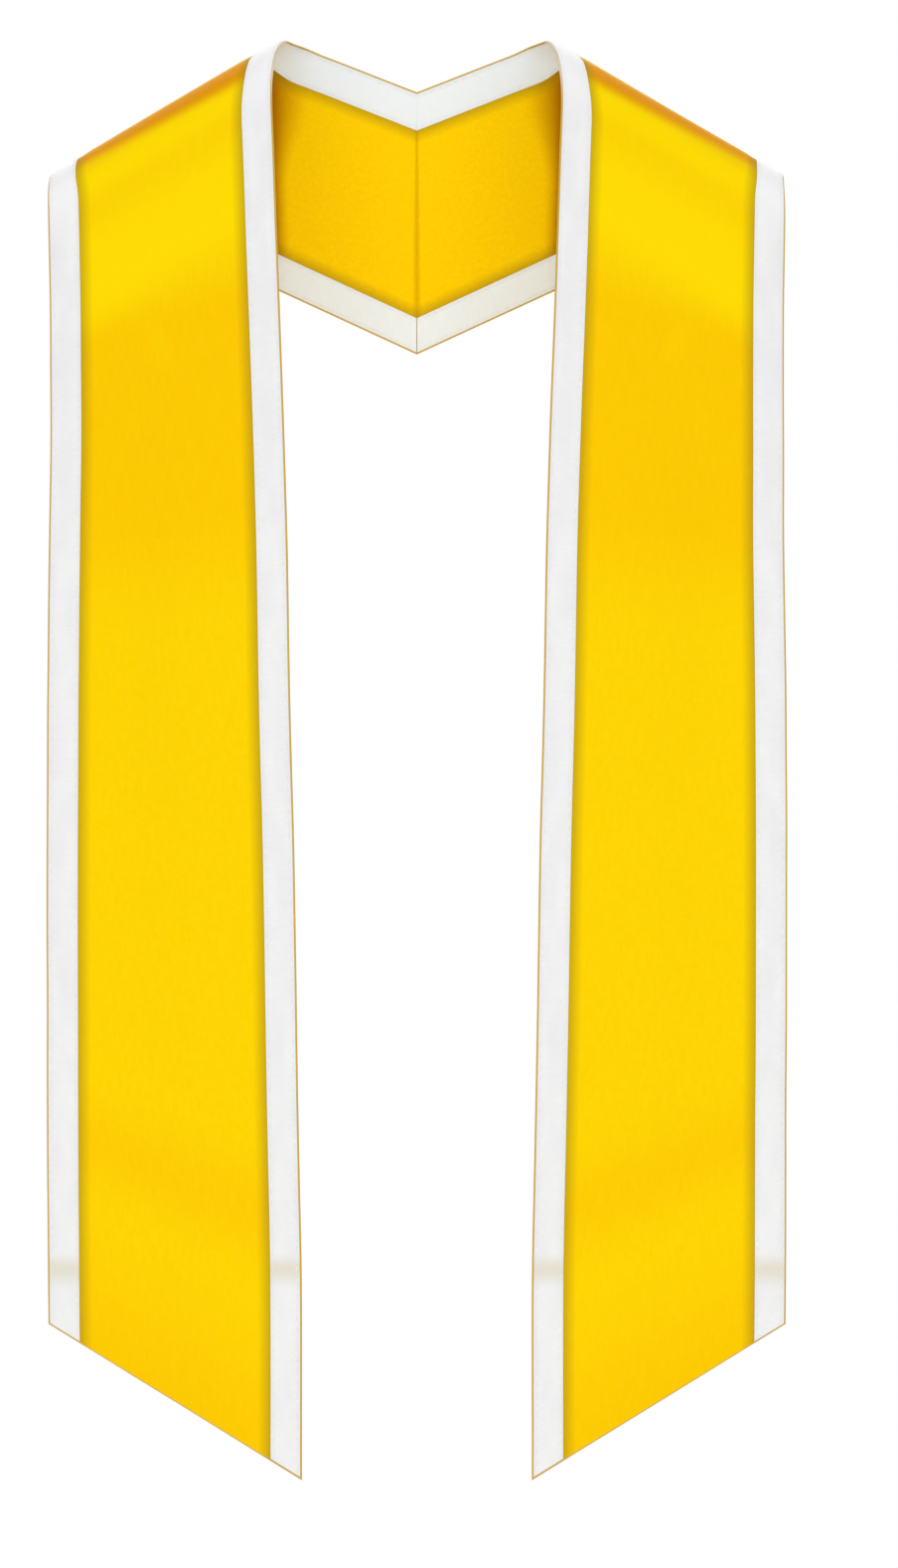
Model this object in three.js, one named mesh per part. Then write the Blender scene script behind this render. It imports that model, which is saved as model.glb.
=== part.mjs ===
// Graduation stole in the form that it has when worn. Two satin panels meet in a mitred
// seam at the centre back, pass over the shoulders and hang down the front to slanted hems.
// White ribbon edges each panel on both sides of the cloth, set in to leave a lip of satin.
// Millimetres, +Z up, front towards -Y. The origin lies midway between the shoulders, level
// with the top of the roll at its two neck edges.
import * as THREE from 'three';

const { lerp, degToRad } = THREE.MathUtils;

// Outline seen from the front
const overallWidth = 428.8;
const dropLength = 837;
const hemRise = 91;
const neckOpening = 168.8;
const hemOpening = 133.6;
const outerEdgeBow = 1;
const crestFall = 78;

// Roll over the shoulder, from the hanging front up to its crest
const neckFrontDepth = 82;
const outerFrontDepth = 60;
const neckRollDrop = 30;
const outerRollDrop = 20;
const neckTuck = 8;
const outerTuck = 2.5;

// Back of the roll and the yoke behind the neck
const centreBackDepth = 66;
const neckBackDepth = 60;
const outerBackDepth = 46;
const yokeTopSpan = 120;
const yokeBottomSpan = 384;
const yokeTopFall = 30;
const yokeHeight = 152.5;
const yokeTopStart = 6.5;
const yokeBottomStart = 16;
const yokeTopEase = 1.6;

// Cloth and trim
const panelThickness = 2;
const ribbonThickness = 1;
const ribbonWidth = 17.4;
const satinLip = 1;
const stitchGap = 0.3;
const seamGap = 0.3;
const foldHeight = 3;

// Fineness of the faceted walls
const stepsPerSection = 3;
const satinStrips = 4;
const probe = 0.02;

// Sections of the hanging front, from the hem up to the foot of the roll. fall is the share
// of the way down to the hem, taper the share of the way in from the neck opening to the hem
// opening, bow the outer edge's lean, and the depths are shares of those at the roll's foot.
const frontSections = [
  { fall: 1.00, taper: 1.00, bow: 0.0, neckDepth: 1.03, outerDepth: 1.16 },
  { fall: 0.86, taper: 0.99, bow: 0.5, neckDepth: 1.06, outerDepth: 1.18 },
  { fall: 0.72, taper: 0.88, bow: 0.9, neckDepth: 1.09, outerDepth: 1.22 },
  { fall: 0.58, taper: 0.77, bow: 1.0, neckDepth: 1.12, outerDepth: 1.26 },
  { fall: 0.44, taper: 0.62, bow: 0.5, neckDepth: 1.15, outerDepth: 1.29 },
  { fall: 0.30, taper: 0.50, bow: -0.5, neckDepth: 1.17, outerDepth: 1.28 },
  { fall: 0.19, taper: 0.33, bow: -1.0, neckDepth: 1.14, outerDepth: 1.20 },
  { fall: 0.09, taper: 0.15, bow: -1.0, neckDepth: 1.08, outerDepth: 1.10 },
  { fall: 0.00, taper: 0.00, bow: 0.0, neckDepth: 1.00, outerDepth: 1.00 },
];

// Turns of the roll in degrees, closest together where the cloth bends most
const frontRollTurns = [12, 28, 50, 90];
const backRollTurns = [40, 62, 78, 90];

// Sections of the yoke, from the back of the roll to the centre back seam. along is the
// share of the way to the seam, and the depths are shares of the depth at the seam.
const yokeSections = [
  { along: 0.22, neckDepth: 0.96, outerDepth: 0.83 },
  { along: 0.48, neckDepth: 0.99, outerDepth: 0.94 },
  { along: 0.76, neckDepth: 1.00, outerDepth: 1.00 },
  { along: 1.00, neckDepth: 1.00, outerDepth: 1.00 },
];

// Soft folds of the hanging front. across is the share of the way from the neck edge to the
// outer edge, spread the fold's half width as such a share, height a share of the fold
// height, and top and foot the shares of the fall between which it shows.
const softFolds = [
  { across: 0.38, spread: 0.34, height: 1.00, top: 0.04, foot: 0.70 },
  { across: 0.70, spread: 0.28, height: -0.70, top: 0.22, foot: 1.05 },
  { across: 0.30, spread: 0.28, height: 0.80, top: 0.62, foot: 1.30 },
];

const satin = { color: 0xfcd403, roughness: 0.5, metalness: 0 };
const whiteRibbon = { color: 0xeeeeee, roughness: 0.6, metalness: 0 };

function frontRow({ fall, taper, bow, neckDepth, outerDepth }) {
  return {
    neck: new THREE.Vector3(
      lerp(neckOpening, hemOpening, taper) / 2,
      -neckFrontDepth * neckDepth,
      -lerp(neckRollDrop, dropLength, fall),
    ),
    outer: new THREE.Vector3(
      overallWidth / 2 + outerEdgeBow * bow,
      -outerFrontDepth * outerDepth,
      -lerp(crestFall + outerRollDrop, dropLength - hemRise, fall),
    ),
  };
}

function frontRollRow(degrees) {
  const forward = Math.cos(degToRad(degrees));
  const rise = Math.sin(degToRad(degrees));
  return {
    neck: new THREE.Vector3(
      neckOpening / 2 - neckTuck * (1 - forward),
      -neckFrontDepth * forward,
      -neckRollDrop * (1 - rise),
    ),
    outer: new THREE.Vector3(
      overallWidth / 2 - outerTuck * (1 - forward),
      -outerFrontDepth * forward,
      -crestFall - outerRollDrop * (1 - rise),
    ),
  };
}

function backRollRow(degrees) {
  const turned = 1 - Math.cos(degToRad(degrees));
  const backward = Math.sin(degToRad(degrees));
  return {
    neck: new THREE.Vector3(
      lerp(neckOpening / 2 - neckTuck, yokeTopSpan / 2, turned),
      neckBackDepth * backward,
      -yokeTopStart * turned ** yokeTopEase,
    ),
    outer: new THREE.Vector3(
      lerp(overallWidth / 2 - outerTuck, yokeBottomSpan / 2, turned),
      outerBackDepth * backward,
      -crestFall - yokeBottomStart * turned,
    ),
  };
}

function yokeRow({ along, neckDepth, outerDepth }) {
  return {
    neck: new THREE.Vector3(
      lerp(yokeTopSpan, seamGap, along) / 2,
      centreBackDepth * neckDepth,
      -lerp(yokeTopStart, yokeTopFall, along),
    ),
    outer: new THREE.Vector3(
      lerp(yokeBottomSpan, seamGap, along) / 2,
      centreBackDepth * outerDepth,
      -lerp(crestFall + yokeBottomStart, yokeTopFall + yokeHeight, along),
    ),
  };
}

const rows = [
  ...frontSections.map(frontRow),
  ...frontRollTurns.map(frontRollRow),
  ...backRollTurns.map(backRollRow),
  ...yokeSections.map(yokeRow),
];
const sectionCount = rows.length - 1;
const stepCount = sectionCount * stepsPerSection;
const neckEdge = new THREE.CatmullRomCurve3(rows.map((row) => row.neck), false, 'centripetal');
const outerEdge = new THREE.CatmullRomCurve3(rows.map((row) => row.outer), false, 'centripetal');

// Rounded hump, 1 in the middle and 0 from the given half width outwards
function hump(distance, halfWidth) {
  const share = Math.min(Math.abs(distance) / halfWidth, 1);
  return (1 + Math.cos(Math.PI * share)) / 2;
}

// Share of the fall at a place along the panel: 1 at the hem and 0 from the roll's foot on
function fallAt(along) {
  const place = Math.min(along * sectionCount, frontSections.length - 1);
  const section = Math.min(Math.floor(place), frontSections.length - 2);
  const lower = frontSections[section].fall;
  const upper = frontSections[section + 1].fall;
  return lerp(lower, upper, place - section);
}

function foldOffset(along, across) {
  const fall = fallAt(along);
  let offset = 0;
  for (const { across: middle, spread, height, top, foot } of softFolds) {
    const length = hump(fall - (top + foot) / 2, (foot - top) / 2);
    offset += foldHeight * height * length * hump(across - middle, spread);
  }
  return offset;
}

// Point of the middle layer of the right panel. along runs from the hem to the centre back
// seam and across from the neck edge to the outer edge, both from 0 to 1.
function middlePoint(along, across) {
  const neck = neckEdge.getPoint(along);
  const outer = outerEdge.getPoint(along);
  const point = neck.lerp(outer, across);
  point.y -= foldOffset(along, across);
  return point;
}

function faceNormal(along, across) {
  const step = probe / sectionCount;
  const below = middlePoint(Math.max(along - step, 0), across);
  const above = middlePoint(Math.min(along + step, 1), across);
  const inner = middlePoint(along, across - probe);
  const outward = middlePoint(along, across + probe);
  const upwards = above.sub(below);
  return outward.sub(inner).cross(upwards).normalize();
}

// Share across the panel that lies at a distance in from the neck edge or the outer edge,
// measured square to that edge
function shareFrom(edge, along, distance) {
  const step = probe / sectionCount;
  const before = edge.getPoint(Math.max(along - step, 0));
  const run = edge.getPoint(Math.min(along + step, 1)).sub(before).normalize();
  const ruling = outerEdge.getPoint(along).sub(neckEdge.getPoint(along));
  return distance / run.cross(ruling).length();
}

// Lines across the panel at one place along it: both edges, both borders of each ribbon and
// evenly spaced lines in the satin between the ribbons
function panelLines(along) {
  const neckLip = shareFrom(neckEdge, along, satinLip);
  const neckBorder = shareFrom(neckEdge, along, satinLip + ribbonWidth);
  const outerLip = 1 - shareFrom(outerEdge, along, satinLip);
  const outerBorder = 1 - shareFrom(outerEdge, along, satinLip + ribbonWidth);
  const lines = [0, neckLip];
  for (let strip = 0; strip <= satinStrips; strip += 1) {
    lines.push(lerp(neckBorder, outerBorder, strip / satinStrips));
  }
  return [...lines, outerLip, 1];
}

function neckRibbonLines(along) {
  return panelLines(along).slice(1, 3);
}

function outerRibbonLines(along) {
  return panelLines(along).slice(-3, -1);
}

// Share of the panel's length that lies at a distance up from the hem
function shareUpFromHem(distance) {
  return distance / neckEdge.getPoint(0).distanceTo(neckEdge.getPoint(1 / stepCount)) / stepCount;
}

// Closed wall of cloth: a box with one cell for each step and strip, laid on the panel's
// middle layer between two heights above it. It starts at a distance up from the hem and
// ends at the seam. The left half is the right half's mirror image.
function clothWall(linesAt, hemDistance, low, high, side) {
  const places = Array.from({ length: stepCount + 1 }, (_, step) => step / stepCount);
  places[0] = shareUpFromHem(hemDistance);
  const linesOfStep = places.map(linesAt);
  const strips = linesOfStep[0].length - 1;
  const geometry = new THREE.BoxGeometry(1, 1, 1, strips, stepCount, 1);
  const corners = geometry.attributes.position;
  for (let index = 0; index < corners.count; index += 1) {
    const acrossShare = side * corners.getX(index) + 0.5;
    const step = Math.round((corners.getY(index) + 0.5) * stepCount);
    const along = places[step];
    const across = linesOfStep[step][Math.round(acrossShare * strips)];
    const height = lerp(low, high, corners.getZ(index) + 0.5);
    const point = middlePoint(along, across).addScaledVector(faceNormal(along, across), height);
    corners.setXYZ(index, side * point.x, point.y, point.z);
  }
  geometry.computeVertexNormals();
  return geometry;
}

function addCloth(group, name, geometry, finish) {
  const mesh = new THREE.Mesh(geometry, new THREE.MeshStandardMaterial(finish));
  mesh.name = name;
  group.add(mesh);
}

const stole = new THREE.Group();
stole.name = 'graduation_stole';
const panelSurface = panelThickness / 2;
const ribbonFoot = panelSurface + stitchGap;
const ribbonTop = ribbonFoot + ribbonThickness;

for (const [sideName, side] of [['right', 1], ['left', -1]]) {
  const panel = clothWall(panelLines, 0, -panelSurface, panelSurface, side);
  addCloth(stole, `${sideName}_panel`, panel, satin);
  for (const [edgeName, lines] of [['neck', neckRibbonLines], ['outer', outerRibbonLines]]) {
    const face = clothWall(lines, satinLip, ribbonFoot, ribbonTop, side);
    const underside = clothWall(lines, satinLip, -ribbonTop, -ribbonFoot, side);
    addCloth(stole, `${sideName}_${edgeName}_ribbon_face`, face, whiteRibbon);
    addCloth(stole, `${sideName}_${edgeName}_ribbon_underside`, underside, whiteRibbon);
  }
}

export default stole;
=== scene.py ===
# Graduation stole in the form that it has when worn: two gold satin halves, joined at the
# centre back, edged with white ribbon on both sides of the cloth and stitched down.
# Metres, +Z up, front towards -Y. The origin lies midway between the shoulders.
import math

import bpy
import numpy as np
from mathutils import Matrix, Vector


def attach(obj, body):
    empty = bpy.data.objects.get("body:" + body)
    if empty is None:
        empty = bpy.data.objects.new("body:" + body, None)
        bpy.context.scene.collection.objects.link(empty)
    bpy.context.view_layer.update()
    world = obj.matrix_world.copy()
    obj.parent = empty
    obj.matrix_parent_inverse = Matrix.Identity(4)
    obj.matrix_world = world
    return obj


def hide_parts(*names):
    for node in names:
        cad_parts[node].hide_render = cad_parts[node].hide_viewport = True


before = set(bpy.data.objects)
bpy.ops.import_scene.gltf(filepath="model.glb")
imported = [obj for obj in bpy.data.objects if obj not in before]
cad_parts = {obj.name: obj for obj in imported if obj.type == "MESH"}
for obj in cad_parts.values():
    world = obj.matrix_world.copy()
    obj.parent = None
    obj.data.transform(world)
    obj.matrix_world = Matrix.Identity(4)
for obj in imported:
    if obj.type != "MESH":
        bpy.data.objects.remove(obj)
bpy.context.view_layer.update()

MM = 0.001
SIDES = {"right": 1, "left": -1}

# Outline seen from the front
OVERALL_WIDTH = 428.8 * MM
DROP_LENGTH = 837 * MM
HEM_RISE = 91 * MM
NECK_OPENING = 168.8 * MM
HEM_OPENING = 133.6 * MM
OUTER_EDGE_BOW = 1 * MM
CREST_FALL = 78 * MM

# Roll over the shoulder
NECK_FRONT_DEPTH = 82 * MM
OUTER_FRONT_DEPTH = 60 * MM
NECK_ROLL_DROP = 30 * MM
OUTER_ROLL_DROP = 20 * MM
NECK_TUCK = 8 * MM
OUTER_TUCK = 2.5 * MM
FRONT_ROLL_TURNS = (12, 28, 50, 90)
BACK_ROLL_TURNS = (40, 62, 78, 90)

# Back of the roll and the yoke
CENTRE_BACK_DEPTH = 66 * MM
NECK_BACK_DEPTH = 60 * MM
OUTER_BACK_DEPTH = 46 * MM
YOKE_TOP_SPAN = 120 * MM
YOKE_BOTTOM_SPAN = 384 * MM
YOKE_TOP_FALL = 30 * MM
YOKE_HEIGHT = 152.5 * MM
YOKE_TOP_START = 6.5 * MM
YOKE_BOTTOM_START = 16 * MM
YOKE_TOP_EASE = 1.6
SEAM_OVERLAP = 0.12 * MM
SEAM_ROUNDING = 0.3 * MM

# Sections of the hanging front: fall, taper, bow, neck depth and outer depth as shares
FRONT_SECTIONS = (
    (1.00, 1.00, 0.0, 1.03, 1.16),
    (0.86, 0.99, 0.5, 1.06, 1.18),
    (0.72, 0.88, 0.9, 1.09, 1.22),
    (0.58, 0.77, 1.0, 1.12, 1.26),
    (0.44, 0.62, 0.5, 1.15, 1.29),
    (0.30, 0.50, -0.5, 1.17, 1.28),
    (0.19, 0.33, -1.0, 1.14, 1.20),
    (0.09, 0.15, -1.0, 1.08, 1.10),
    (0.00, 0.00, 0.0, 1.00, 1.00),
)

# Sections of the yoke: share of the way to the seam, neck depth and outer depth as shares
YOKE_SECTIONS = (
    (0.22, 0.96, 0.83),
    (0.48, 0.99, 0.94),
    (0.76, 1.00, 1.00),
    (1.00, 1.00, 1.00),
)

# Soft folds of the hanging front: place across, half width, height, top and foot of the fall
FOLD_HEIGHT = 3 * MM
SOFT_FOLDS = (
    (0.38, 0.34, 1.00, 0.04, 0.70),
    (0.70, 0.28, -0.70, 0.22, 1.05),
    (0.30, 0.28, 0.80, 0.62, 1.30),
)

# Cloth, trim and thread
TURNED_EDGE = 0.6 * MM
PUFF = 0.45 * MM
PUFF_REACH = 9 * MM
NECK_CURL = 1.8 * MM
NECK_CURL_REACH = 13 * MM
SATIN_LIP = 1.0 * MM
RIBBON_WIDTHS = {
    ("neck", "face"): 17.4 * MM,
    ("outer", "face"): 17.4 * MM,
    ("neck", "underside"): 19.8 * MM,
    ("outer", "underside"): 18.2 * MM,
}
RIBBON_THICKNESS = 0.45 * MM
RIBBON_CROWN = 0.12 * MM
RIBBON_SINK = 0.05 * MM
SELVEDGE = 0.2 * MM
STITCH_INSET = 1.7 * MM
STITCH_GROOVE = 0.16 * MM
STITCH_LENGTH = 2.4 * MM
STITCH_PITCH = 3.2 * MM
THREAD_RADIUS = 0.17 * MM

# Slant of the cloth's ends: distance in from an end for each metre up the middle line
HEM_SLANT = 0.85
SEAM_SLANT = 0.92
RIBBON_SEAM_GAP = 0.19 * MM
EDGE_TURN = {"neck": 1, "outer": -1}
LAYERS = {"face": 1, "underside": -1}

# Line of the crest as seen from the front: its slope, and its height carried on to the middle
CREST_SLOPE = 0.6
CREST_PEAK = 50.5 * MM

# Drop below the crest where the painted shade, a deeper amber over the roll, starts to fade
# and where it ends, at the neck end and at the outer end of the shoulder
SHOULDER_ENDS = (106 * MM, 193 * MM)
AMBER_FULL = (7.4 * MM, 2.3 * MM)
AMBER_GONE = (16.8 * MM, 9.0 * MM)
PALE_REACH = 120 * MM

# Slow waves and stitch puckers: wave lengths, and heights of the slow waves
SLOW_WAVES = (
    (310 * MM, 0.9 * MM),
    (190 * MM, 0.6 * MM),
    (120 * MM, 0.35 * MM),
    (74 * MM, 0.18 * MM),
)
WAVE_SEEDS = {1: 11, -1: 23}
PUCKER_SEED = 5
PUCKER_WAVES = (11 * MM, 17 * MM, 29 * MM)
PUCKER_HEIGHT = 0.045 * MM
PUCKER_REACH = 5 * MM

# Heights at which the cream band on the front ribbons starts, is strongest and ends
BAND_FOOT = -727 * MM
BAND_MIDDLE = -714 * MM
BAND_TOP = -704 * MM

# Camera and studio
FRAME_HEIGHT = 0.9116
VIEW_X = 0.0187
VIEW_Z = -0.4321
FLOOR_LEVEL = -1.0
# Brightness of the surroundings, from straight below to straight above
SKY = ((0.0, 0.34), (0.42, 0.26), (0.58, 0.28), (1.0, 1.0))
SKY_STRENGTH = 1.25
# Name, place, width and height in metres, and power in watts
SOFT_LIGHTS = (
    ("front_softbox", (0.0, -4.2, 0.35), (4.2, 2.5), 64.0),
    ("rear_softbox", (0.0, 4.2, 0.35), (4.2, 2.5), 64.0),
)
# Share of the way up the strip, and how much painted shade warms the satin there
PAINTED_SHADE_STRETCHES = (
    (0.00, 0.9),
    (0.09, 0.1),
    (0.13, 0.8),
    (0.17, 0.1),
    (0.44, 0.1),
    (0.52, 1.0),
    (0.62, 1.0),
    (0.65, 0.0),
    (0.78, 0.1),
    (1.00, 0.1),
)
# Share of PALE_REACH below the crest, and how much painted highlight pales the satin there
PAINTED_HIGHLIGHT_STRETCHES = (
    (0.07, 0.0),
    (0.12, 0.8),
    (0.16, 0.8),
    (0.28, 0.0),
    (0.50, 0.7),
    (0.72, 0.8),
    (0.95, 0.0),
)

# Fineness of the meshes
ROW_SPACING = 2.6 * MM
SATIN_COLUMNS = 40
DENSE_SPACING = 0.5 * MM
SOFTENING = 7 * MM
CURVE_STEPS = 60
STITCH_CORNERS = 5


def lerp(start, end, share):
    return start + (end - start) * share


def front_row(fall, taper, bow, neck_depth, outer_depth):
    neck_x = lerp(NECK_OPENING, HEM_OPENING, taper) / 2
    neck_z = -lerp(NECK_ROLL_DROP, DROP_LENGTH, fall)
    outer_x = OVERALL_WIDTH / 2 + OUTER_EDGE_BOW * bow
    outer_z = -lerp(CREST_FALL + OUTER_ROLL_DROP, DROP_LENGTH - HEM_RISE, fall)
    return (
        (neck_x, -NECK_FRONT_DEPTH * neck_depth, neck_z),
        (outer_x, -OUTER_FRONT_DEPTH * outer_depth, outer_z),
    )


def front_roll_row(degrees):
    forward = math.cos(math.radians(degrees))
    rise = math.sin(math.radians(degrees))
    neck_x = NECK_OPENING / 2 - NECK_TUCK * (1 - forward)
    outer_x = OVERALL_WIDTH / 2 - OUTER_TUCK * (1 - forward)
    return (
        (neck_x, -NECK_FRONT_DEPTH * forward, -NECK_ROLL_DROP * (1 - rise)),
        (outer_x, -OUTER_FRONT_DEPTH * forward, -CREST_FALL - OUTER_ROLL_DROP * (1 - rise)),
    )


def back_roll_row(degrees):
    turned = 1 - math.cos(math.radians(degrees))
    backward = math.sin(math.radians(degrees))
    neck_x = lerp(NECK_OPENING / 2 - NECK_TUCK, YOKE_TOP_SPAN / 2, turned)
    outer_x = lerp(OVERALL_WIDTH / 2 - OUTER_TUCK, YOKE_BOTTOM_SPAN / 2, turned)
    return (
        (neck_x, NECK_BACK_DEPTH * backward, -YOKE_TOP_START * turned**YOKE_TOP_EASE),
        (outer_x, OUTER_BACK_DEPTH * backward, -CREST_FALL - YOKE_BOTTOM_START * turned),
    )


def yoke_row(along, neck_depth, outer_depth):
    seam_x = -SEAM_OVERLAP
    neck_z = -lerp(YOKE_TOP_START, YOKE_TOP_FALL, along)
    outer_z = -lerp(CREST_FALL + YOKE_BOTTOM_START, YOKE_TOP_FALL + YOKE_HEIGHT, along)
    return (
        (lerp(YOKE_TOP_SPAN / 2, seam_x, along), CENTRE_BACK_DEPTH * neck_depth, neck_z),
        (lerp(YOKE_BOTTOM_SPAN / 2, seam_x, along), CENTRE_BACK_DEPTH * outer_depth, outer_z),
    )


def curve_through(points, steps):
    """Smooth curve through the points, the given number of steps to each stretch."""
    points = np.array(points)
    ends = 2 * points[0] - points[1], 2 * points[-1] - points[-2]
    points = np.vstack([ends[0], points, ends[1]])
    found = []
    for k in range(1, len(points) - 2):
        before, start, end, after = points[k - 1 : k + 3]
        first, second, third = (
            np.linalg.norm(b - a) ** 0.5 for a, b in ((before, start), (start, end), (end, after))
        )
        step = (end - start) / second
        leave = (start - before) / first - (end - before) / (first + second) + step
        reach = step - (after - start) / (second + third) + (after - end) / third
        leave, reach = leave * second, reach * second
        for share in np.arange(steps) / steps:
            found.append(
                start
                + leave * share
                + (3 * (end - start) - 2 * leave - reach) * share**2
                + (2 * (start - end) + leave + reach) * share**3
            )
    found.append(points[-2])
    return np.array(found)


def softened(table, samples):
    """The table with each column averaged along its length, and its two ends kept."""
    reach = int(3 * samples)
    weights = np.exp(-0.5 * (np.arange(-reach, reach + 1) / samples) ** 2)
    weights /= weights.sum()
    head = 2 * table[0] - table[reach:0:-1]
    tail = 2 * table[-1] - table[-2 : -reach - 2 : -1]
    padded = np.vstack([head, table, tail])
    return np.stack([np.convolve(column, weights, "valid") for column in padded.T], axis=1)


def edge_tables():
    """Lengths up from the hem along the middle of the strip, with the neck edge, the outer
    edge and the fall of the hanging front at each, close together and evenly spaced."""
    rows = [front_row(*section) for section in FRONT_SECTIONS]
    rows += [front_roll_row(turn) for turn in FRONT_ROLL_TURNS]
    rows += [back_roll_row(turn) for turn in BACK_ROLL_TURNS]
    rows += [yoke_row(*section) for section in YOKE_SECTIONS]
    neck = curve_through([row[0] for row in rows], CURVE_STEPS)
    outer = curve_through([row[1] for row in rows], CURVE_STEPS)
    falls = [section[0] for section in FRONT_SECTIONS]
    falls += [0.0] * (len(rows) - len(falls))
    fall = np.interp(np.arange(len(neck)) / CURVE_STEPS, np.arange(len(rows)), falls)
    middle = (neck + outer) / 2
    run = np.r_[0, np.cumsum(np.linalg.norm(np.diff(middle, axis=0), axis=1))]
    lengths = np.linspace(0, run[-1], int(run[-1] / DENSE_SPACING))
    table = np.hstack([neck, outer, fall[:, None]])
    even = np.stack([np.interp(lengths, run, column) for column in table.T], axis=1)
    even[:, :6] = softened(even[:, :6], SOFTENING / DENSE_SPACING)
    return lengths, even


LENGTHS, EDGES = edge_tables()
STRIP_LENGTH = LENGTHS[-1]


def edges_at(length):
    """Neck edge, outer edge and fall at lengths up from the hem. Past the ends the strip
    runs straight on."""
    inside = np.clip(length, 0, STRIP_LENGTH)
    table = np.stack([np.interp(inside, LENGTHS, column) for column in EDGES.T], axis=-1)
    slope_start = (EDGES[1] - EDGES[0]) / (LENGTHS[1] - LENGTHS[0])
    slope_end = (EDGES[-1] - EDGES[-2]) / (LENGTHS[-1] - LENGTHS[-2])
    beyond = (length - inside)[..., None]
    table = table + np.where(beyond < 0, slope_start, slope_end) * beyond
    return table[..., 0:3], table[..., 3:6], table[..., 6]


def hump(distance, half_width):
    share = np.minimum(np.abs(distance) / half_width, 1)
    return (1 + np.cos(np.pi * share)) / 2


def ease(value, start, end):
    share = np.clip((value - start) / (end - start), 0, 1)
    return share * share * (3 - 2 * share)


def middle_layer(length, across):
    """Points of the right half's middle layer, a row for each length up from the hem."""
    neck, outer, fall = edges_at(length)
    points = neck[:, None] + (outer - neck)[:, None] * across[..., None]
    for middle, spread, height, top, foot in SOFT_FOLDS:
        reach = hump(fall - (top + foot) / 2, (foot - top) / 2)[:, None]
        points[..., 1] -= FOLD_HEIGHT * height * reach * hump(across - middle, spread)
    return points


def layer_normals(length, across):
    step, nudge = 1 * MM, 0.01
    upwards = middle_layer(length + step, across) - middle_layer(length - step, across)
    outwards = middle_layer(length, across + nudge) - middle_layer(length, across - nudge)
    normals = np.cross(outwards, upwards)
    return normals / np.linalg.norm(normals, axis=-1, keepdims=True)


def shares_per_metre(length):
    """Share across the strip for each metre in from the neck edge, and from the outer edge."""
    neck, outer, _ = edges_at(length)
    step = 1 * MM
    after, before = edges_at(length + step), edges_at(length - step)
    ruling = outer - neck
    found = []
    for k in (0, 1):
        run = after[k] - before[k]
        run /= np.linalg.norm(run, axis=-1, keepdims=True)
        found.append(1 / np.linalg.norm(np.cross(run, ruling), axis=-1))
    return found


def row_lengths(start, end, fine):
    """Lengths from one end to the other, closer together where each end is rounded over."""
    inner = np.linspace(start + fine[-1], end - fine[-1], int((end - start) / ROW_SPACING))
    return np.r_[start + np.array(fine[:-1]), inner, end - np.array(fine[-2::-1])]


def swell(length, across, side):
    """Slow waves of the hanging cloth, none at the seam so that the halves meet."""
    rng = np.random.default_rng(WAVE_SEEDS[side])
    height = 0
    for wave, rise in SLOW_WAVES:
        lean = rng.uniform(-0.5, 0.5)
        start = rng.uniform(0, 2 * np.pi)
        turn = 2 * np.pi * length[:, None] / wave
        height = height + rise * np.sin(turn + start + lean * 2 * np.pi * across)
    return height * ease(STRIP_LENGTH - length, 0, 60 * MM)[:, None]


def pucker(length, from_border):
    """Small ripples that the row of stitches draws up in the cloth beside it."""
    rng = np.random.default_rng(PUCKER_SEED)
    ripple = 0
    for wave in PUCKER_WAVES:
        ripple = ripple + np.sin(2 * np.pi * length / wave + rng.uniform(0, 2 * np.pi))
    near = np.exp(-((from_border / PUCKER_REACH) ** 2))
    return PUCKER_HEIGHT * ripple[:, None] * near


def past_ribbons(from_neck, from_outer, layer_name):
    """Distance in from the nearer ribbon's inner border, less than 0 under a ribbon."""
    past_neck = from_neck - SATIN_LIP - RIBBON_WIDTHS["neck", layer_name]
    past_outer = from_outer - SATIN_LIP - RIBBON_WIDTHS["outer", layer_name]
    return np.minimum(past_neck, past_outer)


def below_crest(points):
    """How far a point lies below the crest of the shoulder, as seen from the front."""
    return CREST_PEAK - CREST_SLOPE * points[..., 0] - points[..., 2]


def cloth_centre(length, across, side):
    """Middle of the cloth with its waves and puckers, its normals, and each point's distance
    in from the neck edge and from the outer edge."""
    neck_share, outer_share = shares_per_metre(length)
    from_neck = across / neck_share[:, None]
    from_outer = (1 - across) / outer_share[:, None]
    normals = layer_normals(length, across)
    ripple = pucker(length, past_ribbons(from_neck, from_outer, "face"))
    centre = middle_layer(length, across)
    curl = NECK_CURL * (1 - np.clip(from_neck / NECK_CURL_REACH, 0, 1)) ** 2
    curl = curl * ease(below_crest(centre), 26 * MM, 6 * MM)
    wave = swell(length, across, side) + ripple - curl
    return centre + normals * wave[..., None], normals, from_neck, from_outer


def rounded(distance, radius):
    """Height over a rounded edge, from 0 at the edge to 1 at a radius in from it."""
    short = 1 - np.clip(distance / radius, 0, 1)
    return np.sqrt(np.maximum(1 - short**2, 0))


def add_piece(name, points, faces, material, slot, **attributes):
    mesh = bpy.data.meshes.new(name)
    mesh.from_pydata(points.tolist(), [], faces)
    mesh.shade_smooth()
    for key, values in attributes.items():
        vector = values.ndim == 2
        layer = mesh.attributes.new(key, "FLOAT_VECTOR" if vector else "FLOAT", "POINT")
        layer.data.foreach_set("vector" if vector else "value", values.astype(np.float32).ravel())
    mesh.materials.append(material)
    piece = bpy.data.objects.new(name, mesh)
    bpy.context.scene.collection.objects.link(piece)
    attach(piece, "root")
    return piece


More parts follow.
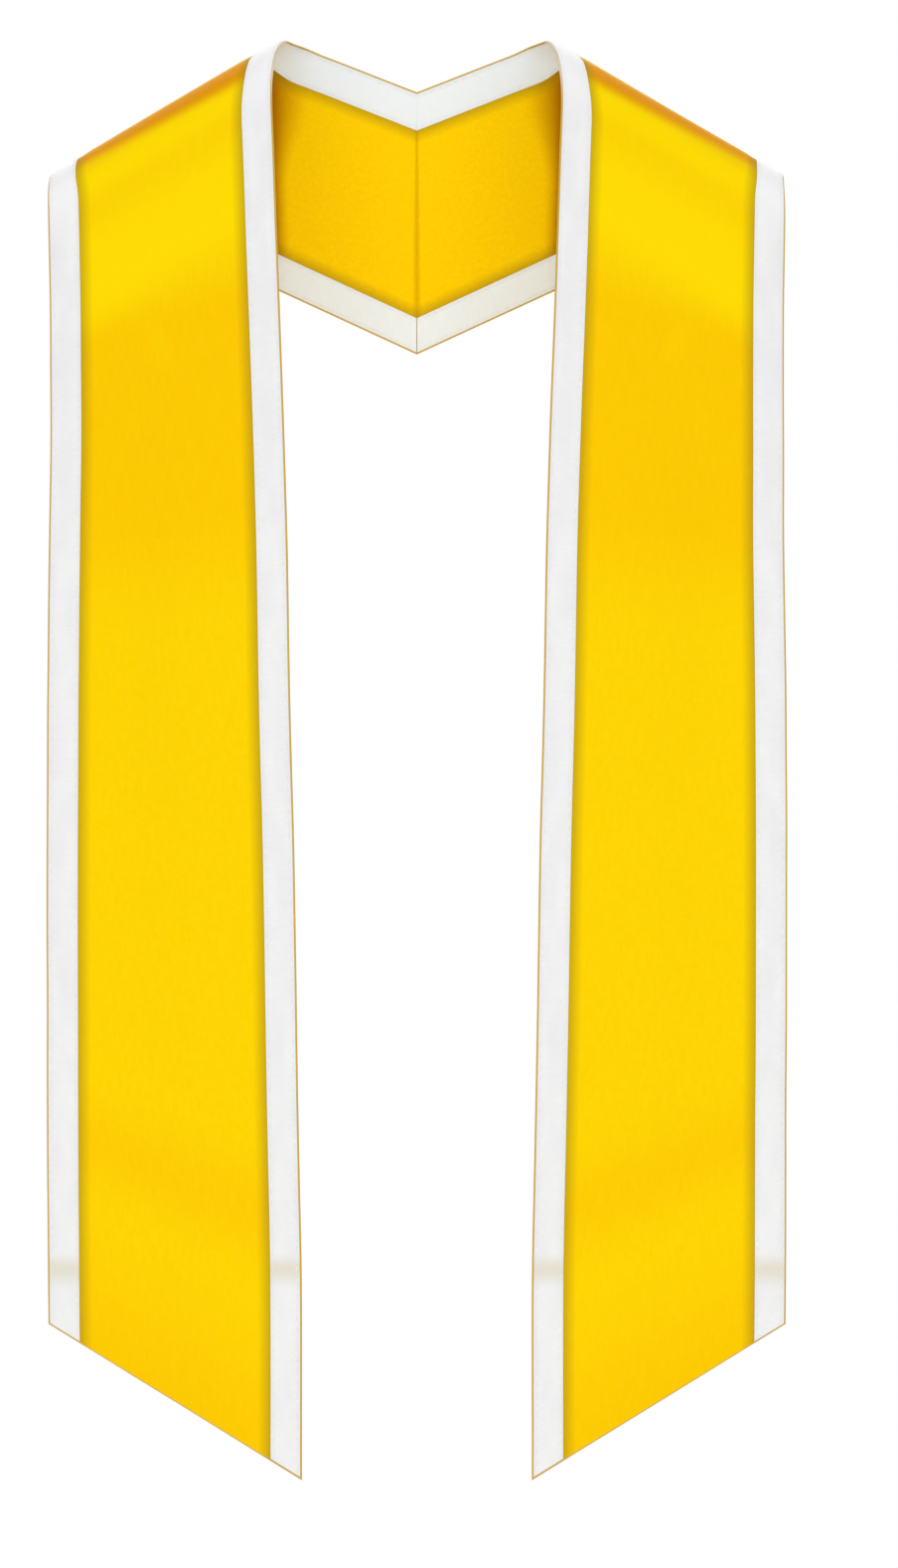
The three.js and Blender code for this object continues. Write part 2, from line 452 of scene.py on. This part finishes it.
def quads(grid, turned):
    corners = (grid[:-1, :-1], grid[:-1, 1:], grid[1:, 1:], grid[1:, :-1])
    if turned:
        corners = corners[::-1]
    return np.stack(corners, axis=-1).reshape(-1, 4).tolist()


def closed_wall(face, back, turned):
    """Points and faces of a thin wall whose face and back share their outermost points."""
    rows, columns = face.shape[:2]
    index = np.arange(rows * columns).reshape(rows, columns)
    under = index.copy()
    inner = (rows - 2, columns - 2)
    under[1:-1, 1:-1] = rows * columns + np.arange(inner[0] * inner[1]).reshape(inner)
    return both_layers(face, back), quads(index, turned) + quads(under, not turned)


def both_layers(face, back):
    """Values of the face, row by row, and then those of the back without its outermost ones."""
    width = face.shape[2:]
    return np.concatenate([face.reshape(-1, *width), back[1:-1, 1:-1].reshape(-1, *width)])


def edge_columns(edge, rim):
    """Distances in from one edge for the columns of cloth under its ribbon."""
    border = SATIN_LIP + RIBBON_WIDTHS[edge, "face"]
    return np.r_[rim, np.linspace(2.5 * MM, border - 1.5 * MM, 6), border - 0.5 * MM], border


def over_crest(points):
    """Painted shade over the roll, from 0 to 1 where the front turns up to the crest of the
    shoulder.
    """
    front = ease(points[..., 1], 0, -34 * MM)
    start, end = SHOULDER_ENDS
    out = np.clip((points[..., 0] - start) / (end - start), 0, 1)
    return front * ease(below_crest(points), lerp(*AMBER_GONE, out), lerp(*AMBER_FULL, out))


def tucked(points):
    """Painted shade, from 0 to 1 at the ends of the inside of the yoke, widest at the top."""
    x, y, z = np.moveaxis(points, -1, 0)
    fringe = lerp(82 * MM, 85 * MM, ease(z, -150 * MM, -30 * MM))
    width = lerp(9 * MM, 24 * MM, ease(z, -85 * MM, -28 * MM))
    inner = 1 - np.clip((fringe - x) / width, 0, 1)
    outer = lerp(1, 0.42, ease(x, 86 * MM, 104 * MM)) * ease(x, 200 * MM, 110 * MM)
    return inner**1.3 * outer * ease(y, -70 * MM, 20 * MM)


def inside_yoke(points):
    """From 0 to 1 where the underside stands up behind the neck."""
    return ease(points[..., 1], 10 * MM, 45 * MM)


def stretched(points):
    """Painted light, from 0 to 1 where a ribbon passes over the crest of the shoulder."""
    return ease(below_crest(points), 45 * MM, 8 * MM) * ease(points[..., 1], 40 * MM, 10 * MM)


def over_shoulder(points):
    """From 0 to 1 where the neck edge of the front turns over the shoulder."""
    return ease(points[..., 2], -38 * MM, -18 * MM) * ease(points[..., 1], 30 * MM, 0)


def lay_satin_half(side_name, side, material):
    """One half of the stole: two layers of satin, turned in all round and pressed."""
    rim = np.array((0, 0.06, 0.2, 0.4, 0.62, 1.2)) * MM
    length = row_lengths(0, STRIP_LENGTH, rim)
    neck_share, outer_share = (share[:, None] for share in shares_per_metre(length))
    neck_columns, neck_border = edge_columns("neck", rim)
    outer_columns, outer_border = edge_columns("outer", rim)
    satin = np.linspace(0, 1, SATIN_COLUMNS)
    across = np.hstack(
        [
            neck_columns * neck_share,
            lerp(neck_border * neck_share, 1 - outer_border * outer_share, satin),
            1 - outer_columns[::-1] * outer_share,
        ]
    )

    centre, normals, from_neck, from_outer = cloth_centre(length, across, side)
    every = 0 * across
    from_hem = HEM_SLANT * length[:, None] + every
    from_seam = SEAM_SLANT * (STRIP_LENGTH - length[:, None]) + every
    from_edge = np.minimum.reduce([from_neck, from_outer, from_hem])
    half = TURNED_EDGE * rounded(from_edge, TURNED_EDGE) * rounded(from_seam, SEAM_ROUNDING)
    layers, past = [], []
    for layer_name, layer in LAYERS.items():
        past.append(past_ribbons(from_neck, from_outer, layer_name))
        puff = PUFF * ease(past[-1], 0, PUFF_REACH) * ease(from_hem, 0, PUFF_REACH)
        puff = puff * ease(from_seam, 0, PUFF_REACH)
        layers.append(centre + normals * (layer * (half + puff))[..., None])
    points, faces = closed_wall(*layers, side < 0)
    place = np.stack([from_neck, length[:, None] + every, every], axis=-1)
    return add_piece(
        f"{side_name}_satin_half",
        points * (side, 1, 1),
        faces,
        material,
        "gold_satin",
        cloth_place=both_layers(place, place),
        from_ribbon=both_layers(*past),
        from_edge=both_layers(from_edge, from_edge),
        from_seam=both_layers(from_seam, from_seam),
        over_crest=both_layers(over_crest(layers[0]), every),
        below_crest=both_layers(below_crest(layers[0]), every + 1),
        tucked=both_layers(every, tucked(layers[1])),
        inside=both_layers(every, inside_yoke(layers[1])),
        over_shoulder=both_layers(over_shoulder(centre), over_shoulder(centre)),
    )


def ribbon_height(inward, width):
    """Height of the ribbon's top over the satin, at a distance in from its nearer border."""
    crown = RIBBON_CROWN * (1 - (1 - inward / (width / 2)) ** 2)
    groove = STITCH_GROOVE * np.exp(-(((inward - STITCH_INSET) / (0.6 * MM)) ** 2))
    return RIBBON_THICKNESS * rounded(inward, SELVEDGE) + crown - groove


def on_border(length, inward, edge, layer, side, height):
    """Points over the stitched border of the satin, a distance in from one of its edges."""
    neck_share, outer_share = shares_per_metre(length)
    if edge == "neck":
        across = inward * neck_share[:, None]
    else:
        across = 1 - inward * outer_share[:, None]
    centre, normals, _, _ = cloth_centre(length, across, side)
    return centre + normals * (layer * (TURNED_EDGE + height))[..., None], normals * layer


def lay_ribbon(name, edge, layer_name, side, material):
    """A ribbon over one border of the satin, crowned, with its selvedges rounded and a groove
    along each row of stitches."""
    width, layer = RIBBON_WIDTHS[edge, layer_name], LAYERS[layer_name]
    rim = np.array((0, 0.05, 0.12, 0.2)) * MM
    half = np.r_[rim, np.array((0.7, 1.2, 1.7, 2.2, 2.8, 4.2, 6.2)) * MM]
    columns = np.r_[half, width / 2, width - half[::-1]]
    start, end = SATIN_LIP / HEM_SLANT, STRIP_LENGTH - RIBBON_SEAM_GAP
    rows = np.linspace(start + 0.5 * MM, end - 0.5 * MM, int(STRIP_LENGTH / ROW_SPACING))
    length = np.r_[start + rim, rows, end - rim[::-1]]
    every = np.zeros((len(length), len(columns)))
    inward = np.minimum(columns, width - columns) + every
    from_end = np.minimum(length - start, end - length)[:, None]
    height = ribbon_height(inward, width) * rounded(from_end, SELVEDGE)
    reach = SATIN_LIP + columns + every
    top, _ = on_border(length, reach, edge, layer, side, height - RIBBON_SINK)
    base, _ = on_border(length, reach, edge, layer, side, every - RIBBON_SINK)
    points, faces = closed_wall(top, base, side * layer * EDGE_TURN[edge] < 0)
    place = np.stack([columns + every, length[:, None] + every, every], axis=-1)
    on_face = layer > 0
    fall = np.where(on_face & (top[..., 1] < 0), top[..., 2], 0)
    painted_end_shade = every if on_face else tucked(top)
    inside = every if on_face else inside_yoke(top)
    smooth = stretched(top) if on_face else every
    return add_piece(
        name,
        points * (side, 1, 1),
        faces,
        material,
        "white_ribbon",
        cloth_place=both_layers(place, place),
        from_selvedge=both_layers(inward, inward),
        fall=both_layers(fall, fall),
        tucked=both_layers(painted_end_shade, painted_end_shade),
        inside=both_layers(inside, inside),
        stretched=both_layers(smooth, smooth),
    )


def sew_ribbon(name, edge, layer_name, side, material):
    """Two rows of stitches, each stitch a short thread that dips into the ribbon at its ends."""
    width, layer = RIBBON_WIDTHS[edge, layer_name], LAYERS[layer_name]
    start = SATIN_LIP / HEM_SLANT + STITCH_PITCH
    count = int((STRIP_LENGTH - start) / STITCH_PITCH)
    middle = start + STITCH_PITCH * np.arange(count)
    rings = np.array((-1, -0.62, 0.62, 1))
    sizes = np.array((0.3, 1, 1, 0.3))
    lift = np.array((-0.12, 0.05, 0.05, -0.12)) * MM
    length = (middle[:, None] + rings * STITCH_LENGTH / 2).ravel()
    groove = float(ribbon_height(np.array(STITCH_INSET), width))
    turn = np.arange(STITCH_CORNERS) * 2 * np.pi / STITCH_CORNERS
    points, faces = [], []
    for inward in (STITCH_INSET, width - STITCH_INSET):
        height = (groove - RIBBON_SINK + np.tile(lift, count))[:, None]
        reach = np.full((len(length), 1), SATIN_LIP + inward)
        centre, normals = on_border(length, reach, edge, layer, side, height)
        centre = centre.reshape(count, len(rings), 3)
        upward = normals.reshape(count, len(rings), 3)
        along = centre[:, -1] - centre[:, 0]
        along = (along / np.linalg.norm(along, axis=-1, keepdims=True))[:, None]
        beside = np.cross(upward, along)
        rise, sway = np.cos(turn)[:, None], np.sin(turn)[:, None]
        circle = upward[:, :, None] * rise + beside[:, :, None] * sway
        tube = centre[:, :, None] + circle * (THREAD_RADIUS * sizes)[:, None, None]
        first = sum(len(part) for part in points)
        points.append(tube.reshape(-1, 3))
        index = first + np.arange(tube[..., 0].size).reshape(count, len(rings), STITCH_CORNERS)
        index = np.concatenate([index, index[:, :, :1]], axis=2)
        for stitch in index:
            faces += quads(stitch, side > 0)
            ends = stitch[0, :-1].tolist(), stitch[-1, -2::-1].tolist()
            faces += [end if side > 0 else end[::-1] for end in ends]
    points = np.concatenate(points) * (side, 1, 1)
    return add_piece(name, points, faces, material, "white_ribbon")


def linear(code):
    """A colour given as sRGB hex, turned to linear light."""
    channels = (int(code[k : k + 2], 16) / 255 for k in (1, 3, 5))
    return (*(c / 12.92 if c <= 0.04045 else ((c + 0.055) / 1.055) ** 2.4 for c in channels), 1)


def add_node(tree, kind, sockets=None, **settings):
    """Adds a node. Each input is set to a number or colour, or linked to another socket."""
    node = tree.nodes.new(kind)
    for key, value in settings.items():
        setattr(node, key, value)
    for key, value in (sockets or {}).items():
        if isinstance(value, bpy.types.NodeSocket):
            tree.links.new(value, node.inputs[key])
        else:
            node.inputs[key].default_value = value
    return node


def new_material(name):
    material = bpy.data.materials.new(name)
    material.use_nodes = True
    tree = material.node_tree
    tree.nodes.clear()
    return material, tree


# Sockets of a colour Mix node
FACTOR, FIRST, SECOND, MIXED = 0, 6, 7, 2


def blended(tree, factor, first, second, way="MIX"):
    mix = add_node(
        tree,
        "ShaderNodeMix",
        {FACTOR: factor, FIRST: first, SECOND: second},
        data_type="RGBA",
        blend_type=way,
    )
    return mix.outputs[MIXED]


def cloth_noise(tree, place, across, along, detail=2.0):
    """Noise whose grain is the given size in metres across and along the cloth."""
    scaled = add_node(
        tree,
        "ShaderNodeVectorMath",
        {0: place, 1: (1 / across, 1 / along, 1)},
        operation="MULTIPLY",
    )
    noise = add_node(
        tree, "ShaderNodeTexNoise", {"Vector": scaled.outputs[0], "Scale": 1.0, "Detail": detail}
    )
    return noise.outputs["Fac"]


def spread(tree, value, low, high, start=0.0, end=1.0, smooth=True):
    node = add_node(
        tree,
        "ShaderNodeMapRange",
        {"Value": value, "From Min": low, "From Max": high, "To Min": start, "To Max": end},
        interpolation_type="SMOOTHSTEP" if smooth else "LINEAR",
    )
    return node.outputs["Result"]


def stored(tree, name, output="Fac"):
    return add_node(tree, "ShaderNodeAttribute", attribute_name=name).outputs[output]


def times(tree, first, second):
    return add_node(tree, "ShaderNodeMath", {0: first, 1: second}, operation="MULTIPLY").outputs[0]


def woven_polyester_satin():
    """Woven polyester satin: long warp floats give it a soft lengthwise sheen, partly from their
    roughness and partly painted as paler streaks, and the crowded threads a faint mottle that is
    seen close to. Its broad light and shade are painted: colours laid on the cloth, so they stay
    in place in any light."""
    material, tree = new_material("woven_polyester_satin")
    place = stored(tree, "cloth_place", "Vector")
    # Warp floats lie about 0.15 mm apart, drawn 0.8 mm apart so that they show
    floats = cloth_noise(tree, place, 0.8 * MM, 14 * MM)
    threads = cloth_noise(tree, place, 0.5 * MM, 0.9 * MM, 1.0)
    mottle = cloth_noise(tree, place, 3.5 * MM, 4.5 * MM)
    patches = cloth_noise(tree, place, 55 * MM, 95 * MM)

    # Painted shade: warmer and paler stretches up the length of the cloth, broken up by the
    # patches
    along = add_node(tree, "ShaderNodeSeparateXYZ", {0: place}).outputs["Y"]
    share = spread(tree, along, 0, STRIP_LENGTH, smooth=False)
    warm = add_node(tree, "ShaderNodeValToRGB", {"Fac": share})
    set_ramp(warm.color_ramp, PAINTED_SHADE_STRETCHES)
    painted_shade_amount = times(tree, warm.outputs["Color"], spread(tree, patches, 0.12, 0.38))
    colour = blended(tree, painted_shade_amount, linear("#F8D003"), linear("#F7C402"))
    # A painted, fuller and brighter yellow inside the yoke to make up for the shade there, with
    # small darker blotches
    inside = stored(tree, "inside")
    colour = blended(tree, inside, colour, linear("#FFD404"))
    blotches = cloth_noise(tree, place, 2.4 * MM, 2.4 * MM)
    blotched = times(tree, spread(tree, blotches, 0.42, 0.56, 0, 0.22), inside)
    colour = blended(tree, blotched, colour, linear("#F0BE02"))
    colour = blended(tree, spread(tree, mottle, 0.3, 0.7, 0, 0.12), colour, linear("#F2BC00"))
    # Painted sheen: paler streaks along the warp floats
    colour = blended(tree, spread(tree, floats, 0.35, 0.7, 0, 0.10), colour, linear("#FCE22A"))

    # Painted shade, a deeper amber up to the crest of the shoulder, and painted highlight in paler
    # stretches below it
    share = spread(tree, stored(tree, "below_crest"), 0, PALE_REACH, smooth=False)
    pale = add_node(tree, "ShaderNodeValToRGB", {"Fac": share})
    set_ramp(pale.color_ramp, PAINTED_HIGHLIGHT_STRETCHES)
    colour = blended(tree, pale.outputs["Color"], colour, linear("#FCD905"))
    colour = blended(tree, stored(tree, "over_crest"), colour, linear("#E49402"))

    # Deep shade at the ends of the inside of the yoke, and a line along the centre seam
    colour = blended(tree, stored(tree, "tucked"), colour, linear("#A25C02"))
    seam = spread(tree, stored(tree, "from_seam"), 0.5 * MM, 2.5 * MM, 0.5, 0)
    colour = blended(tree, seam, colour, linear("#D09E00"))

    # Painted shade: darker in the valley beside each ribbon
    valley = spread(tree, stored(tree, "from_ribbon"), 0, 7.5 * MM, 0.62, 0, smooth=False)
    colour = blended(tree, valley, colour, linear("#9A8018"))
    # A thin tan line along the turned edges, paler where they turn over the shoulder
    turned = spread(tree, stored(tree, "from_edge"), 0.6 * MM, 1.3 * MM, 0.7, 0)
    over = stored(tree, "over_shoulder")
    rim = blended(tree, over, linear("#CEAA5C"), linear("#DEDAD0"))
    colour = blended(tree, turned, colour, rim)

    # The gloss is held almost off, below a real satin's, because it pales the yellow
    rough = spread(tree, floats, 0.3, 0.7, 0.46, 0.60)
    fine = add_node(
        tree, "ShaderNodeBump", {"Strength": 0.25, "Distance": 0.12 * MM, "Height": threads}
    )
    weave = add_node(
        tree,
        "ShaderNodeBump",
        {"Strength": 0.35, "Distance": 0.2 * MM, "Height": floats, "Normal": fine.outputs[0]},
    )
    shader = add_node(
        tree,
        "ShaderNodeBsdfPrincipled",
        {
            "Base Color": colour,
            "Roughness": rough,
            "IOR": 1.5,
            "Specular IOR Level": 0.005,
            "Specular Tint": linear("#FFC400"),
            "Sheen Weight": 0.12,
            "Sheen Roughness": 0.4,
            "Sheen Tint": linear("#FFCE1A"),
            "Normal": weave.outputs[0],
        },
    )
    add_node(tree, "ShaderNodeOutputMaterial", {"Surface": shader.outputs[0]})
    return material


def set_ramp(ramp, stops):
    ramp.interpolation = "EASE"
    while len(ramp.elements) < len(stops):
        ramp.elements.new(0.5)
    for element, (position, value) in zip(ramp.elements, stops):
        element.position = position
        element.color = (value, value, value, 1)


def white_satin_ribbon():
    """Woven white satin ribbon: smooth with a soft gloss, and fine ribs run across it to
    the selvedges."""
    material, tree = new_material("white_satin_ribbon")
    place = stored(tree, "cloth_place", "Vector")
    # Weft ribs lie about 0.3 mm apart, drawn 0.9 mm apart so that they show
    ribs = cloth_noise(tree, place, 9 * MM, 0.9 * MM, 1.0)
    threads = cloth_noise(tree, place, 0.5 * MM, 0.7 * MM, 1.0)
    clouds = cloth_noise(tree, place, 14 * MM, 40 * MM)
    colour = blended(tree, spread(tree, clouds, 0.3, 0.7), linear("#EDEDED"), linear("#E8E8E9"))
    # Painted light: whiter over the shoulder, and a faint painted blue inside the yoke, against
    # the warm light that the satin throws there
    colour = blended(tree, stored(tree, "stretched"), colour, linear("#F4F4F4"))
    colour = blended(tree, stored(tree, "inside"), colour, linear("#ECF6FF"))
    ribbed = spread(tree, ribs, 0.3, 0.7, 0, 0.3)
    colour = blended(tree, ribbed, colour, linear("#F6F6F6"), "MULTIPLY")
    # Duller with painted shade beside the stitches and at the yoke's ends, and cream along a band
    # above the hem
    inward = stored(tree, "from_selvedge")
    drawn = spread(tree, inward, STITCH_INSET, STITCH_INSET + 1.2 * MM, 0.10, 0)
    colour = blended(tree, drawn, colour, linear("#C9C9CC"))
    painted_end_shade = times(tree, stored(tree, "tucked"), 0.16)
    colour = blended(tree, painted_end_shade, colour, linear("#A8A8AC"))
    fall = stored(tree, "fall")
    under = spread(tree, fall, BAND_FOOT, BAND_MIDDLE)
    above = spread(tree, fall, BAND_MIDDLE, BAND_TOP, 1, 0)
    colour = blended(tree, times(tree, under, above), colour, linear("#DED9C9"))
    fine = add_node(
        tree, "ShaderNodeBump", {"Strength": 0.2, "Distance": 0.1 * MM, "Height": threads}
    )
    weave = add_node(
        tree,
        "ShaderNodeBump",
        {"Strength": 0.3, "Distance": 0.15 * MM, "Height": ribs, "Normal": fine.outputs[0]},
    )
    shader = add_node(
        tree,
        "ShaderNodeBsdfPrincipled",
        {
            "Base Color": colour,
            "Roughness": spread(tree, ribs, 0.3, 0.7, 0.42, 0.55),
            "IOR": 1.5,
            "Specular IOR Level": 0.3,
            "Sheen Weight": 0.05,
            "Sheen Roughness": 0.4,
            "Normal": weave.outputs[0],
        },
    )
    add_node(tree, "ShaderNodeOutputMaterial", {"Surface": shader.outputs[0]})
    return material


def spun_polyester_thread():
    """White spun polyester sewing thread: matt, with the twist of its plies."""
    material, tree = new_material("spun_polyester_thread")
    where = add_node(tree, "ShaderNodeTexCoord").outputs["Object"]
    # The plies turn about every 0.5 mm
    plies = add_node(
        tree,
        "ShaderNodeTexWave",
        {"Vector": where, "Scale": 1 / (20 * 0.5 * MM), "Distortion": 2.0, "Detail": 1.0},
        bands_direction="DIAGONAL",
    ).outputs["Fac"]
    colour = blended(tree, plies, linear("#E4E4E6"), linear("#F7F7F7"))
    twist = add_node(
        tree, "ShaderNodeBump", {"Strength": 0.4, "Distance": 0.05 * MM, "Height": plies}
    )
    shader = add_node(
        tree,
        "ShaderNodeBsdfPrincipled",
        {
            "Base Color": colour,
            "Roughness": spread(tree, plies, 0, 1, 0.6, 0.75),
            "IOR": 1.5,
            "Specular IOR Level": 0.2,
            "Normal": twist.outputs[0],
        },
    )
    add_node(tree, "ShaderNodeOutputMaterial", {"Surface": shader.outputs[0]})
    return material


def pale_floor():
    """Matt pale studio floor of painted board."""
    material, tree = new_material("matt_pale_board")
    where = add_node(tree, "ShaderNodeTexCoord").outputs["Object"]
    grain = add_node(tree, "ShaderNodeTexNoise", {"Vector": where, "Scale": 3.0}).outputs["Fac"]
    shader = add_node(
        tree,
        "ShaderNodeBsdfPrincipled",
        {
            "Base Color": blended(tree, grain, linear("#F4F4F3"), linear("#F0F0F0")),
            "Roughness": 0.9,
            "Specular IOR Level": 0.1,
        },
    )
    add_node(tree, "ShaderNodeOutputMaterial", {"Surface": shader.outputs[0]})
    return material


def lay_floor():
    reach = 4.0
    mesh = bpy.data.meshes.new("floor")
    corners = [(-reach, -reach, 0), (reach, -reach, 0), (reach, reach, 0), (-reach, reach, 0)]
    mesh.from_pydata(corners, [], [(0, 1, 2, 3)])
    mesh.materials.append(pale_floor())
    floor = bpy.data.objects.new("floor", mesh)
    floor.location.z = FLOOR_LEVEL
    bpy.context.scene.collection.objects.link(floor)


def light_studio():
    """Pale surroundings, brightest overhead, and a broad soft light each from the front and
    from behind. The camera sees white paper in their place."""
    world = bpy.data.worlds.new("studio")
    bpy.context.scene.world = world
    world.use_nodes = True
    tree = world.node_tree
    tree.nodes.clear()
    toward = add_node(tree, "ShaderNodeTexCoord").outputs["Generated"]
    rise = add_node(tree, "ShaderNodeSeparateXYZ", {0: toward}).outputs["Z"]
    share = spread(tree, rise, -1, 1, smooth=False)
    sky = add_node(tree, "ShaderNodeValToRGB", {"Fac": share})
    set_ramp(sky.color_ramp, SKY)
    room = add_node(
        tree,
        "ShaderNodeBackground",
        {"Color": sky.outputs["Color"], "Strength": SKY_STRENGTH},
    )
    paper = add_node(tree, "ShaderNodeBackground", {"Color": (1, 1, 1, 1), "Strength": 1.0})
    seen = add_node(tree, "ShaderNodeLightPath").outputs["Is Camera Ray"]
    mix = add_node(tree, "ShaderNodeMixShader", {0: seen, 1: room.outputs[0], 2: paper.outputs[0]})
    add_node(tree, "ShaderNodeOutputWorld", {"Surface": mix.outputs[0]})
    for name, place, size, power in SOFT_LIGHTS:
        light = bpy.data.lights.new(name, "AREA")
        light.shape = "RECTANGLE"
        light.size, light.size_y = size
        light.energy = power
        lamp = bpy.data.objects.new(name, light)
        lamp.location = place
        aim = Vector((0, 0, -DROP_LENGTH / 2)) - Vector(place)
        lamp.rotation_euler = aim.to_track_quat("-Z", "Y").to_euler()
        bpy.context.scene.collection.objects.link(lamp)


def set_camera():
    """Straight on and without perspective, to match the photo's view."""
    camera = bpy.data.cameras.new("camera")
    camera.type = "ORTHO"
    camera.ortho_scale = FRAME_HEIGHT
    camera.clip_end = 20
    view = bpy.data.objects.new("camera", camera)
    view.location = (VIEW_X, -3.0, VIEW_Z)
    view.rotation_euler = (math.radians(90), 0, 0)
    bpy.context.scene.collection.objects.link(view)
    bpy.context.scene.camera = view


set_camera()
satin = woven_polyester_satin()
ribbon = white_satin_ribbon()
thread = spun_polyester_thread()
for side_name, side in SIDES.items():
    half = lay_satin_half(side_name, side, satin)
    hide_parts(f"{side_name}_panel")
    trim = []
    for edge, layer_name in RIBBON_WIDTHS:
        name = f"{side_name}_{edge}_{layer_name}"
        band = lay_ribbon(f"{name}_ribbon", edge, layer_name, side, ribbon)
        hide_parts(f"{side_name}_{edge}_ribbon_{layer_name}")
        trim += [band, sew_ribbon(f"{name}_stitching", edge, layer_name, side, thread)]
lay_floor()
light_studio()
bpy.context.scene.view_settings.view_transform = "Standard"
